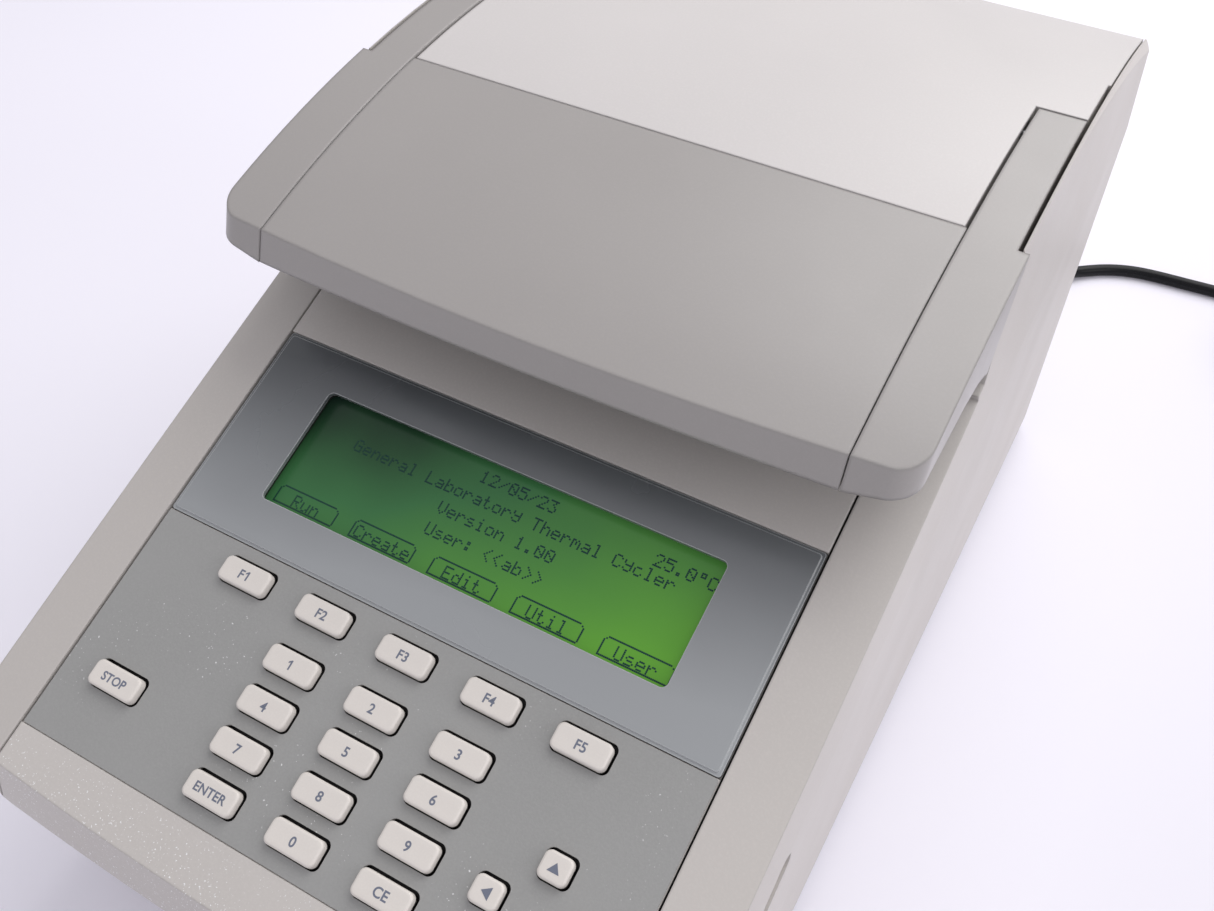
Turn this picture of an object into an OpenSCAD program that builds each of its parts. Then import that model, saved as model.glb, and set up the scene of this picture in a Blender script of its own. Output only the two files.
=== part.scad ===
// Bench-top thermal cycler with a rear-hinged heated cover.
// Millimetres. Z = 0 is the table, +Y points to the rear, X = 0 is the middle plane.

/* [Case] */
// Overall width across the side walls
body_w = 239; // [237:0.5:241]
// Overall depth from the nose to the rear wall
body_d = 413; // [413:0.5:415]
// Height of the case's lower edge above the table
foot_h = 6; // [5:0.5:7]
// Slope of the control panel in degrees
panel_slope = 19.53; // [19.3:0.01:19.7]
// Thickness of the case's side walls
side_wall = 4; // [3.5:0.1:4.2]

/* [Lid] */
// Height of the lid's highest point above the table
lid_top = 222.5; // [222:0.1:223]
// Radius of the lid's arched top, seen from the side
lid_r = 440; // [430:1:450]
// Thickness of the lid's plastic skins
skin = 3.2; // [2.5:0.1:3.4]

/* [Keypad] */
// Distance between key columns
key_pitch_x = 29.8; // [29.5:0.1:30.1]
// Distance between key rows
key_pitch_v = 13.68; // [13.5:0.01:13.8]
// How far a key's top stands above the panel
key_proud = 2.5; // [2:0.1:3]

/* [Sample block] */
// Distance between neighbouring wells
well_pitch = 9; // [8.9:0.1:9]
// Radius of a well's mouth
well_r = 3.2; // [2.8:0.1:3.3]

/* [Mains cord] */
// Diameter of the mains cord
cord_d = 6.5; // [6:0.1:7]

/* [Hidden] */
$fn = 48;
arc_fn = 720;
eps = 0.01;

hw = body_w / 2;
hd = body_d / 2;

// Control panel plane: its zero line is the front edge of the keypad.
panel_y0 = -187.8;
panel_z0 = 108.26;
insert_gap = 0.7;
rail_in = 98.3;
insert_w = rail_in - insert_gap;
overlay_v = 76.8;
bezel_v = 148.2;
strip_v = 172.8;
insert_t = 3;
rail_crown = 6.4;

// Nose of the case: the face leans out to nose_z and runs back below it.
nose_z = 88;
nose_bow_r = 1800;
nose_lean = 0.233;
under_lean = 0.262;
corner_r = 26;

// Crease on the side walls, above which they lean in.
crease_y = 198;
crease_z = -647.5;
crease_r = 815;
side_lean = 0.0556;

// Lid
lid_cy = 83.5;
lid_cz = lid_top - lid_r;
lid_front = -57.9;
lid_bottom = 190;
lip_lean = 0.356;
lip_r = 9;
underside_rise = 0.15;
lip_wall = 9;
panel_edge = 33.9;
seam = 0.45;
arm_in = 98.3;
arm_out = 113.8;
ear_out = 117.4;
ear_gap = 0.8;
arm_end = 104.9;
notch_gap = 0.9;
slot_w = 1.2;
fin_in = 115.2;
fin_lean = 0.394;
fin_crown_in = 115.5;
fin_crown = 2;
cover_side = 114.6;
cover_step = 136;
cover_rear = 204.5;
cover_bottom = 188;
cover_rear_bottom = 184;
rear_wall_top = 179.5;
pivot_y = 95;
pivot_z = 217.2;
pivot_r = 1.5;
hinge_y = 190;
hinge_z = 192;
hinge_r = 3;
run_gap = 0.05;

// Inside the case
ledge_z = 175;
deck_z = 166;
rear_wall = 3;
block_y = 50;
block_z = 172;
block_h = 22;
block_w = 112;
block_d = 78;
peltier_h = 3.6;
sink_base = 8;
sink_h = 46;
fan_y = 100;
fan_z = 108;
fan_w = 80;
fan_t = 25;
rear_z = 38;
inlet_x = 84;
switch_x = 50;
serial_x = 5;

// Mains cord: relief, route on the table and coil, in row-frame millimetres.
plug_back = 225;
relief_back = 255;
coil_x = 254;
coil_y = 315.5;
coil_mid_r = 39;
coil_w = 3 * cord_d;
coil_h = 2 * cord_d;
CORD_ROUTE = [
    [84, 255, 38], [84, 259, 38], [84, 266, 36.8], [85, 274, 34], [86, 282, 30], [88, 291, 25],
    [91, 300, 20], [94, 309, 15], [98, 318, 10.5], [103, 327, 7], [109, 335, 4.5],
    [116, 342, 3.5], [124, 348, 3.3], [133, 352.5, 3.3], [143, 355.5, 3.3], [154, 357, 3.3],
    [166, 358, 3.3], [178, 359, 3.3], [190, 360, 3.3], [204, 361, 3.3], [217, 361, 3.3],
    [229, 361, 3.3]
];

// Keys: name, column offset from the middle column, place up the slope, width, depth.
key_w = 17.4;
key_d = 8.1;
arrow_w = 8.8;
arrow_d = 8;
key_x0 = 0.25;
row_f = 67.85;
row_1 = 50.65;
stop_x = -77;
pad_x = 69;
pad_v = 22.95;
function col(n) = key_x0 + n * key_pitch_x;
function row(n) = row_1 - n * key_pitch_v;
KEYS = [
    ["key_f1", col(-2), row_f, key_w, key_d],
    ["key_f2", col(-1), row_f, key_w, key_d],
    ["key_f3", col(0), row_f, key_w, key_d],
    ["key_f4", col(1), row_f, key_w, key_d],
    ["key_f5", col(2), row_f, key_w, key_d],
    ["key_1", col(-1), row(0), key_w, key_d],
    ["key_2", col(0), row(0), key_w, key_d],
    ["key_3", col(1), row(0), key_w, key_d],
    ["key_4", col(-1), row(1), key_w, key_d],
    ["key_5", col(0), row(1), key_w, key_d],
    ["key_6", col(1), row(1), key_w, key_d],
    ["key_7", col(-1), row(2), key_w, key_d],
    ["key_8", col(0), row(2), key_w, key_d],
    ["key_9", col(1), row(2), key_w, key_d],
    ["key_enter", col(-1), row(3), key_w, key_d],
    ["key_0", col(0), row(3), key_w, key_d],
    ["key_ce", col(1), row(3), key_w, key_d],
    ["key_stop", stop_x, pad_v, key_w, key_d],
    ["key_up", pad_x, pad_v + key_pitch_v, arrow_w, arrow_d],
    ["key_down", pad_x, pad_v - key_pitch_v, arrow_w, arrow_d],
    ["key_left", pad_x - key_pitch_v, pad_v, arrow_w, arrow_d],
    ["key_right", pad_x + key_pitch_v, pad_v, arrow_w, arrow_d]
];
key_gap = 0.65;
key_low = 0.25;
flange = 1.2;

// LCD window
lcd_x = 0.8;
lcd_v = 113;
lcd_w = 144.6;
lcd_d = 41.4;
lcd_r = 2;
glass_h = -4.1;

FRAME_NODES = [
    "upper_case", "base_pan", "rubber_feet", "control_panel", "keypad_overlay", "display_bezel",
    "lcd_module", "key_membrane", "keypad_board", "side_grilles", "deck_plate", "block_gasket",
    "sample_block", "peltier_modules", "heatsink", "fan_frame", "fan_rotor", "main_board",
    "power_supply", "power_inlet", "power_switch", "serial_port", "hinge_brackets", "hinge_pins",
    "case_screws", "cover_shell", "cover_liner", "hinge_arms", "platen", "heater_pad",
    "lever_panel", "lever_arms", "lever_frame", "lever_pins",
    "cord_socket", "cord_lead", "cord_coil", "mains_plug"
];

// ---------- helpers ----------

function panel_z(y) = panel_z0 + (y - panel_y0) * tan(panel_slope);
function on_slope(v, h) = [
    panel_y0 + v * cos(panel_slope) - h * sin(panel_slope),
    panel_z0 + v * sin(panel_slope) + h * cos(panel_slope)
];
function lid_z(y) = lid_cz + sqrt(lid_r * lid_r - (y - lid_cy) * (y - lid_cy));

// A side view outline (Y, Z) drawn out along X.
module along_x(x0, x1) {
    translate([x0, 0, 0])
        rotate([90, 0, 90])
            linear_extrude(x1 - x0) children();
}

module both_sides() {
    children();
    mirror([1, 0, 0]) children();
}

module on_panel(x = 0, v = 0, h = 0) {
    translate([0, panel_y0, panel_z0])
        rotate([panel_slope, 0, 0])
            translate([x, v, h]) children();
}

module round_rect(w, d, r) {
    square([w - 2 * r, d], center = true);
    square([w, d - 2 * r], center = true);
    for (sx = [-1, 1], sy = [-1, 1])
        translate([sx * (w / 2 - r), sy * (d / 2 - r)]) circle(r);
}

module round_plate(w, d, h, r) {
    linear_extrude(h) round_rect(w, d, r);
}

module box(x0, x1, y0, y1, z0, z1) {
    translate([x0, y0, z0]) cube([x1 - x0, y1 - y0, z1 - z0]);
}

module rod_x(x0, x1, y, z, r) {
    translate([x0, y, z]) rotate([0, 90, 0]) cylinder(h = x1 - x0, r = r);
}

module rod_y(x, y0, y1, z, r) {
    translate([x, y0, z]) rotate([-90, 0, 0]) cylinder(h = y1 - y0, r = r);
}

// ---------- outer form of the case ----------

function bow(x) = x * x / (2 * nose_bow_r);
function nose_front(z) = z < nose_z
    ? -hd + (nose_z - z) * under_lean
    : -hd + (z - nose_z) * nose_lean;

// Plan outline of the case at one height: bowed front, round front corners.
module case_plan(z, inset) {
    front = nose_front(z) + inset;
    side = hw - inset;
    r = corner_r - inset;
    cx = side - r;
    cy = front + bow(cx) + r;
    translate([0, 0, z])
        linear_extrude(eps)
            polygon(concat(
                [for (i = [-6:6]) [i * cx / 6, front + bow(i * cx / 6)]],
                [for (a = [-80:10:0]) [cx + r * cos(a), cy + r * sin(a)]],
                [[side, hd + 1], [-side, hd + 1]],
                [for (a = [180:10:260]) [-cx + r * cos(a), cy + r * sin(a)]]
            ));
}

module nose_trim(inset) {
    hull() {
        case_plan(-5, inset);
        case_plan(nose_z, inset);
    }
    hull() {
        case_plan(nose_z, inset);
        case_plan(lid_top + 10, inset);
    }
}

// Space inside the two cones that lean the side walls in above the crease.
module side_trim() {
    both_sides()
        translate([-eps, crease_y, crease_z])
            rotate([0, 90, 0])
                cylinder(h = hw + eps, r1 = crease_r + hw / side_lean, r2 = crease_r, $fn = arc_fn);
}

// Space inside the two cones that slope the fins' top outer edges.
module fin_trim() {
    end_r = lid_r - (hw - fin_crown_in) * fin_crown;
    both_sides()
        translate([-eps, lid_cy, lid_cz])
            rotate([0, 90, 0])
                cylinder(h = hw + eps, r1 = end_r + hw * fin_crown, r2 = end_r, $fn = arc_fn);
}

module lid_disc(drop) {
    translate([lid_cy, lid_cz]) circle(lid_r - drop, $fn = arc_fn);
}

fin_foot = 16.5;
fin_foot_z = panel_z(fin_foot);
fin_round = 5;
function fin_edge_y(z) = fin_foot + (z - fin_foot_z) * fin_lean;

// Rounding between a rear face and the lid's arc, from the rear face upwards.
function rear_corner(y_end, r) =
    let (cy = y_end - r, cz = lid_cz + sqrt(pow(lid_r - r, 2) - pow(cy - lid_cy, 2)))
    [for (a = [0:11:66]) [cy + r * cos(a), cz + r * sin(a)]];
function above_corner(y_end, r) = [y_end - r + r * cos(66), 250];

module case_side_view() {
    intersection() {
        polygon(concat(
            [[-hd - 20, foot_h], [hd, foot_h]],
            rear_corner(hd, fin_round),
            [above_corner(hd, fin_round)],
            [[fin_edge_y(250), 250], [fin_foot, fin_foot_z], on_slope(-30, 0)]
        ));
        lid_disc(0);
    }
}

module case_cavity() {
    y_top = panel_y0 + (ledge_z - 3 + 5.3 - panel_z0) / tan(panel_slope);
    intersection() {
        along_x(-hw + side_wall, hw - side_wall)
            polygon([
                [hd - rear_wall, -1], [hd - rear_wall, ledge_z - 3], [y_top, ledge_z - 3],
                on_slope(-40, -5), [-hd - 20, -1]
            ]);
        nose_trim(3);
    }
}

// ---------- case ----------

vent_y = -110;
vent_z = 103.2;
vent_len = 66;
vent_h = 10;
vent_tilt = 24;
vent_deep = 2.4;

module at_side_vent() {
    translate([0, vent_y, vent_z])
        rotate([vent_tilt, 0, 0]) children();
}

module upper_case() {
    color([0.74, 0.72, 0.69])
        difference() {
            intersection() {
                along_x(-hw, hw) case_side_view();
                nose_trim(0);
                side_trim();
                fin_trim();
            }
            case_cavity();
            // Opening for the control panel and the deck
            box(-rail_in, rail_in, -hd - 10, hd - rear_wall, nose_z - 2, 250);
            // Bay for the lid between the fins
            box(-fin_in, fin_in, fin_foot - 2, hd - rear_wall, ledge_z, 250);
            box(-fin_in, fin_in, fin_foot - 2, hd + 1, rear_wall_top, 250);
            // Rail tops fall away a little to the outside
            both_sides()
                on_panel(rail_in + 0.6, -60, 0)
                    rotate([0, rail_crown, 0]) cube([40, 60 + 212, 30]);
            // Side vents
            both_sides()
                at_side_vent()
                    translate([0, -vent_len / 2, 0])
                        along_x(hw - vent_deep, hw + 8) round_rect(vent_len, vent_h, vent_h / 2 - 0.5);
            both_sides()
                at_side_vent()
                    for (i = [0:9])
                        translate([hw - 10, -vent_len + 5.5 + i * 5.8, -vent_h / 2 + 1.5])
                            cube([20, 3, vent_h - 3]);
            // Exhaust slots behind the fan
            for (i = [-6:6])
                box(i * 6 - 1.6, i * 6 + 1.6, hd - 10, hd + 1, fan_z - 34, fan_z + 34);
            // Power entry and serial port
            box(switch_x - 14, inlet_x + 18, hd - 10, hd + 1, rear_z - 16, rear_z + 16);
            box(serial_x - 16, serial_x + 16, hd - 10, hd + 1, rear_z - 7, rear_z + 7);
            // Screw holes for the hinge brackets
            both_sides()
                for (y = [hinge_y - 13, hinge_y - 22])
                    translate([104, y, ledge_z - 5]) cylinder(h = 10, r = 1.6);
        }
}

foot_places = [for (x = [-95, 95], y = [-155, 178]) [x, y]];

module base_pan() {
    pan_w = hw - side_wall - 0.2;
    color([0.55, 0.56, 0.57]) {
        difference() {
            intersection() {
                box(-pan_w, pan_w, -hd, hd - rear_wall - 0.2, foot_h, foot_h + 14);
                nose_trim(3.4);
            }
            intersection() {
                box(-hw, hw, -hd, hd - rear_wall - 1.7, foot_h + 1.5, foot_h + 20);
                nose_trim(5);
                box(-pan_w + 1.5, pan_w - 1.5, -hd, hd, 0, 60);
            }
            for (p = foot_places)
                translate([p[0], p[1], foot_h - 1]) cylinder(h = 5, r = 2.1);
            // Air intake under the heatsink
            for (i = [-5:5])
                box(i * 10 - 2.5, i * 10 + 2.5, 15, 85, foot_h - 1, foot_h + 3);
        }
        // Standoffs for the main board
        for (x = [-78, 78], y = [-140, -40])
            translate([x, y, foot_h + 1.5 - eps])
                difference() {
                    cylinder(h = 14.5, r = 4);
                    translate([0, 0, 6]) cylinder(h = 20, r = 1.5);
                }
    }
}

module rubber_feet() {
    color([0.12, 0.12, 0.13])
        for (p = foot_places)
            translate([p[0], p[1], 0])
                difference() {
                    union() {
                        cylinder(h = foot_h, r1 = 9.5, r2 = 11);
                        cylinder(h = foot_h + 3.5, r = 2);
                    }
                    translate([0, 0, -1]) cylinder(h = 4, r = 4);
                }
}

// ---------- control panel ----------

function insert_outline() = [
    on_slope(-40, 0), on_slope(strip_v, 0), on_slope(strip_v, -8), on_slope(2, -8),
    [on_slope(2, -8)[0], nose_z - 1.5], [-hd - 20, nose_z - 1.5]
];

// The caps sit a little low and to the left in their holes.
module key_holes(gap, depth) {
    for (k = KEYS)
        on_panel(k[1] + key_low, k[2] + key_low, -depth)
            round_plate(k[3] + 2 * gap, k[4] + 2 * gap, 2 * depth, 2.2);
}

module control_panel() {
    inner_w = insert_w - 2.5;
    color([0.78, 0.76, 0.73])
        difference() {
            intersection() {
                along_x(-insert_w, insert_w) polygon(insert_outline());
                nose_trim(0);
            }
            intersection() {
                along_x(-inner_w, inner_w)
                    polygon([
                        on_slope(-60, -insert_t), on_slope(strip_v - 2.5, -insert_t),
                        on_slope(strip_v - 2.5, -10), on_slope(6, -10),
                        [on_slope(6, -10)[0], nose_z - 8], [-hd - 20, nose_z - 8]
                    ]);
                nose_trim(3);
            }
            // Seats of the overlay and the bezel
            on_panel(-insert_w - 1, 0, -0.7) cube([2 * insert_w + 2, overlay_v, 5]);
            on_panel(-insert_w - 1, overlay_v - eps, -1.4)
                cube([2 * insert_w + 2, bezel_v - overlay_v, 5]);
            key_holes(key_gap, 10);
            on_panel(lcd_x, lcd_v, -10) round_plate(lcd_w + 1, lcd_d + 1, 20, lcd_r + 0.5);
        }
}

module keypad_overlay() {
    color([0.57, 0.58, 0.57])
        difference() {
            on_panel(0, overlay_v / 2, -0.7)
                round_plate(2 * insert_w - 0.6, overlay_v - 0.6, 0.5, 0.6);
            key_holes(key_gap, 10);
        }
}

module display_bezel() {
    mid_v = (overlay_v + bezel_v) / 2;
    deep = bezel_v - overlay_v - 0.5;
    color([0.50, 0.54, 0.56])
        difference() {
            union() {
                on_panel(0, mid_v, -1.4) round_plate(2 * insert_w - 0.6, deep, 1.1, 1);
                on_panel(0, mid_v, -1.4) round_plate(2 * insert_w - 2.6, deep - 2, 1.5, 1);
            }
            on_panel(lcd_x, lcd_v, -10) round_plate(lcd_w, lcd_d, 20, lcd_r);
        }
}

module lcd_module() {
    color([0.35, 0.62, 0.22]) {
        on_panel(lcd_x, lcd_v, glass_h - 4) round_plate(lcd_w + 3, lcd_d + 3, 4, 1);
        difference() {
            on_panel(lcd_x, lcd_v + 2, glass_h - 5.6) round_plate(lcd_w + 14, lcd_d + 22, 1.6 + eps, 1);
            for (x = [-75, 75], v = [-27, 27])
                on_panel(lcd_x + x, lcd_v + 2 + v, glass_h - 10) cylinder(h = 10, r = 1.6);
        }
    }
}

module key_cap(w, d) {
    rim = 0.5;
    hull() {
        translate([0, 0, -insert_t]) round_plate(w, d, key_proud + insert_t - rim, 2);
        translate([0, 0, key_proud - rim]) round_plate(w - 2 * rim, d - 2 * rim, rim, 1.5);
    }
    translate([0, 0, -insert_t - 1.3]) round_plate(w + 2 * flange, d + 2 * flange, 1, 2);
    translate([0, 0, -insert_t - 0.3 - eps]) round_plate(w, d, 0.3 + 2 * eps, 2);
    translate([0, 0, -insert_t - 2.2]) cylinder(h = 1, r = 2.5);
}

module key(k) {
    color([0.86, 0.84, 0.80])
        on_panel(k[1], k[2], 0) key_cap(k[3], k[4], $fn = 24);
}

module key_membrane() {
    color([0.75, 0.75, 0.73]) {
        on_panel(-2, 38, -8.6) round_plate(184, 73, 0.8, 3);
        for (k = KEYS)
            on_panel(k[1], k[2], -7.8 - eps) cylinder(h = 1, r1 = 3.6, r2 = 2.4);
    }
}

module keypad_board() {
    color([0.16, 0.42, 0.24])
        difference() {
            on_panel(-2, 38, -10.4) round_plate(184, 73, 1.6, 2);
            for (x = [-88, 88], v = [-32, 32])
                on_panel(-2 + x, 38 + v, -12) cylinder(h = 5, r = 1.6);
        }
}

module side_grilles() {
    color([0.52, 0.50, 0.47])
        both_sides()
            difference() {
                at_side_vent()
                    translate([hw - side_wall - 1.3, -vent_len - 3, -vent_h / 2 - 3])
                        cube([1.2, vent_len + 6, vent_h + 6]);
                at_side_vent()
                    for (i = [0:20], j = [-1, 0, 1])
                        translate([hw - 10, -vent_len + 3 + i * 3, j * 2.4])
                            rotate([0, 90, 0]) cylinder(h = 20, r = 0.8, $fn = 16);
            }
}

// ---------- block, cooling and electronics ----------

module deck_plate() {
    color([0.36, 0.37, 0.38])
        difference() {
            box(-rail_in + 0.5, rail_in - 0.5, -23.3, hd - rear_wall - 0.3, deck_z - 3, ledge_z - 1);
            box(-rail_in + 2.5, rail_in - 2.5, -30, hd - rear_wall - 2.3, deck_z, ledge_z + 5);
            translate([0, block_y, deck_z - 5])
                linear_extrude(20) round_rect(block_w + 4, block_d + 4, 3);
            for (x = [-80, 80], y = [-10, 110])
                translate([x, y, deck_z - 5]) cylinder(h = 10, r = 2.1);
            // Notches for the latch tongues
            both_sides()
                box(rail_in - 3.3, rail_in, -24, -10, deck_z - 4, ledge_z);
        }
}

module block_gasket() {
    color([0.10, 0.10, 0.11])
        translate([0, block_y, deck_z])
            linear_extrude(3)
                difference() {
                    round_rect(block_w + 12, block_d + 12, 5);
                    round_rect(block_w + 0.6, block_d + 0.6, 3);
                }
}

module sample_block() {
    color([0.78, 0.79, 0.80])
        difference() {
            translate([0, block_y, block_z - block_h])
                round_plate(block_w, block_d, block_h, 3);
            for (i = [0:11], j = [0:7])
                translate([(i - 5.5) * well_pitch, block_y + (j - 3.5) * well_pitch, block_z - 15])
                    cylinder(h = 15 + eps, r1 = 1.4, r2 = well_r, $fn = 24);
        }
}

peltier_z = block_z - block_h - peltier_h;

module peltier_modules() {
    color([0.92, 0.92, 0.90])
        for (i = [-1:1], j = [-0.5, 0.5])
            translate([i * 37.5, block_y + j * 38.5, peltier_z])
                round_plate(36, 37, peltier_h, 0.5);
}

module heatsink() {
    top = peltier_z;
    color([0.66, 0.67, 0.69]) {
        box(-60, 60, block_y - 42, block_y + 42, top - sink_base, top);
        for (i = [-12:12])
            translate([i * 4.8, 0, 0])
                box(-0.8, 0.8, block_y - 42, block_y + 42, top - sink_h, top - sink_base + eps);
    }
}

module fan_frame() {
    color([0.11, 0.11, 0.12])
        difference() {
            union() {
                difference() {
                    translate([0, fan_y, fan_z])
                        rotate([-90, 0, 0]) round_plate(fan_w, fan_w, fan_t, 4);
                    rod_y(0, fan_y - 1, fan_y + fan_t + 1, fan_z, 38);
                }
                rod_y(0, fan_y + 20, fan_y + fan_t, fan_z, 17);
                for (a = [45:90:315])
                    translate([0, fan_y + 22, fan_z])
                        rotate([0, a, 0]) translate([15, 0, -2]) cube([24, 2.5, 4]);
            }
            rod_y(0, fan_y + 15, fan_y + 24, fan_z, 1.5 + run_gap);
            for (x = [-36, 36], z = [-36, 36])
                rod_y(x, fan_y - 1, fan_y + fan_t + 1, fan_z + z, 2.2);
        }
}

module fan_rotor() {
    color([0.15, 0.15, 0.16])
        translate([0, fan_y, fan_z])
            rotate([-90, 0, 0]) {
                translate([0, 0, 2]) cylinder(h = 17, r = 17);
                translate([0, 0, 18]) cylinder(h = 5.5, r = 1.5);
                for (i = [0:6])
                    rotate([0, 0, i * 360 / 7])
                        translate([16, 0, 10.5])
                            rotate([35, 0, 0]) translate([0, -8, -0.9]) cube([20.5, 16, 1.8]);
            }
}

module main_board() {
    z = foot_h + 16;
    color([0.13, 0.38, 0.22]) {
        difference() {
            box(-86, 86, -148, -32, z, z + 1.6);
            for (x = [-78, 78], y = [-140, -40])
                translate([x, y, z - 1]) cylinder(h = 5, r = 1.6);
        }
        box(-20, 12, -110, -78, z + 1.6 - eps, z + 4.6);
        box(30, 58, -120, -108, z + 1.6 - eps, z + 5);
        box(30, 58, -98, -86, z + 1.6 - eps, z + 5);
        box(-70, -40, -60, -50, z + 1.6 - eps, z + 11);
        for (i = [0:3])
            translate([-66 + i * 13, -126, z + 1.6 - eps]) cylinder(h = 14, r = 4.5);
    }
}

module power_supply() {
    z = foot_h + 1.5;
    color([0.68, 0.69, 0.70])
        difference() {
            box(-110, -52, 25, 170, z, z + 52);
            box(-108.5, -53.5, 26.5, 168.5, z + 1.5, z + 50.5);
            for (i = [0:11], j = [0:3])
                box(-120, -40, 39 + i * 10, 42 + i * 10, z + 8 + j * 10, z + 14 + j * 10);
        }
}

// ---------- rear connectors ----------

// Places of the inlet's contact blades, from its middle.
BLADES = [[-7, -2], [7, -2], [0, 3]];

module power_inlet() {
    front = hd - 3.5;
    color([0.10, 0.10, 0.11])
        difference() {
            union() {
                box(switch_x - 13.7, inlet_x + 17.7, front, hd, rear_z - 15.7, rear_z + 15.7);
                box(switch_x - 12, inlet_x + 16, hd - 32, front + eps, rear_z - 14, rear_z + 14);
            }
            // Recess for the mains lead's socket
            box(inlet_x - 12.6, inlet_x + 12.6, hd - 17, hd + 1, rear_z - 8.6, rear_z + 8.6);
            // Well for the rocker
            box(switch_x - 7.5, switch_x + 7.5, hd - 12, hd + 1, rear_z - 10.5, rear_z + 10.5);
            // Seat of the rocker's pivots
            rod_x(switch_x - 9, switch_x + 9, hd - 3, rear_z, 1.5 + run_gap);
        }
    // Three contact blades
    color([0.80, 0.78, 0.72])
        for (p = BLADES)
            translate([inlet_x + p[0], 0, rear_z + p[1]])
                box(-1, 1, hd - 18, hd - 3, -2.2, 2.2);
}

switch_tilt = 9;

module power_switch() {
    color([0.16, 0.16, 0.17])
        translate([switch_x, hd - 3, rear_z])
            rotate([switch_tilt, 0, 0])
                difference() {
                    union() {
                        rotate([0, 90, 0]) cylinder(h = 13.8, r = 6, center = true);
                        translate([-6.9, -1, -9.4]) cube([13.8, 3.6, 18.8]);
                        rotate([0, 90, 0]) cylinder(h = 17, r = 1.5, center = true);
                    }
                    translate([-8, 2.6, -6]) cube([16, 6, 12]);
                    for (s = [-1, 1])
                        rod_x(-8, 8, 22.4, s * 6.5, 20.4, $fn = 96);
                }
}

module serial_port() {
    color([0.62, 0.63, 0.65])
        difference() {
            union() {
                box(serial_x - 15.7, serial_x + 15.7, hd - 2, hd - 0.5, rear_z - 6.3, rear_z + 6.3);
                box(serial_x - 9, serial_x + 9, hd - 14, hd - 1, rear_z - 5, rear_z + 5);
            }
            box(serial_x - 8, serial_x + 8, hd - 6.5, hd + 1, rear_z - 4, rear_z + 4);
            for (s = [-1, 1])
                rod_y(serial_x + s * 12.5, hd - 4, hd + 1, rear_z, 1.6);
        }
    color([0.85, 0.7, 0.35])
        for (i = [0:4])
            rod_y(serial_x - 5.5 + i * 2.75, hd - 7, hd - 2.5, rear_z + 1.4, 0.5, $fn = 16);
    color([0.85, 0.7, 0.35])
        for (i = [0:3])
            rod_y(serial_x - 4.1 + i * 2.75, hd - 7, hd - 2.5, rear_z - 1.4, 0.5, $fn = 16);
}

// ---------- hinge ----------

module hinge_brackets() {
    color([0.70, 0.71, 0.72])
        both_sides()
            difference() {
                union() {
                    box(98.6, 109.4, hinge_y - 26, hinge_y + 7, ledge_z, ledge_z + 2);
                    for (x = [98.6, 106.6]) {
                        box(x, x + 2.8, hinge_y - 6, hinge_y + 6, ledge_z, hinge_z);
                        rod_x(x, x + 2.8, hinge_y, hinge_z, 6);
                    }
                }
                rod_x(95, 115, hinge_y, hinge_z, hinge_r);
                for (y = [hinge_y - 13, hinge_y - 22])
                    translate([104, y, ledge_z - 5]) cylinder(h = 10, r = 1.6);
            }
}

module hinge_pins() {
    color([0.80, 0.81, 0.82])
        both_sides() {
            rod_x(98, 110, hinge_y, hinge_z, hinge_r);
            rod_x(97, 98 + eps, hinge_y, hinge_z, hinge_r + 1.2);
        }
}

module hinge_arms() {
    color([0.66, 0.67, 0.69])
        both_sides()
            difference() {
                union() {
                    rod_x(102, 106, hinge_y, hinge_z, 6.5);
                    box(102, 106, hinge_y - 50, hinge_y, 196, 201);
                    box(100, 108, hinge_y - 50, hinge_y - 20, 201 - eps, 203);
                    box(102, 106, hinge_y - 6.5, hinge_y, hinge_z, 199);
                }
                rod_x(95, 115, hinge_y, hinge_z, hinge_r + run_gap);
            }
}

module case_screws() {
    color([0.72, 0.73, 0.74]) {
        both_sides()
            for (y = [hinge_y - 13, hinge_y - 22])
                translate([104, y, ledge_z + 2]) {
                    cylinder(h = 1.6, r = 3);
                    translate([0, 0, -7]) cylinder(h = 7, r = 1.5);
                }
        for (x = [-80, 80], y = [-10, 110])
            translate([x, y, deck_z]) {
                cylinder(h = 1.8, r = 3.6);
                translate([0, 0, -8]) cylinder(h = 8, r = 2);
            }
    }
}

// ---------- lid: outer form ----------

function lip_y(z) = lid_front + (z - lid_bottom) * lip_lean;

// Plan outline of the lid at one height: bowed front, round front corners.
module lid_plan(z) {
    front = lip_y(z);
    cx = ear_out - lip_r;
    cy = front + bow(cx) + lip_r;
    translate([0, 0, z])
        linear_extrude(eps)
            polygon(concat(
                [for (i = [-6:6]) [i * cx / 6, front + bow(i * cx / 6)]],
                [for (a = [-82.5:7.5:0]) [cx + lip_r * cos(a), cy + lip_r * sin(a)]],
                [[ear_out, 150], [-ear_out, 150]],
                [for (a = [180:7.5:262.5]) [-cx + lip_r * cos(a), cy + lip_r * sin(a)]]
            ));
}

module lid_trim() {
    hull() {
        lid_plan(lid_bottom - 5);
        lid_plan(lid_top + 5);
    }
}

// Side view of the lid between two places, from a level up to its arched top.
module lid_side_view(y0, y1, z0, drop) {
    intersection() {
        translate([y0, z0]) square([y1 - y0, 250 - z0]);
        lid_disc(drop);
    }
}

// Side view of the hollow behind the lip, which leans with it.
module lip_hollow(y1, drop) {
    intersection() {
        polygon([[lip_y(150) + lip_wall, 150], [y1, 150], [y1, 250], [lip_y(250) + lip_wall, 250]]);
        lid_disc(drop);
    }
}

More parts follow.
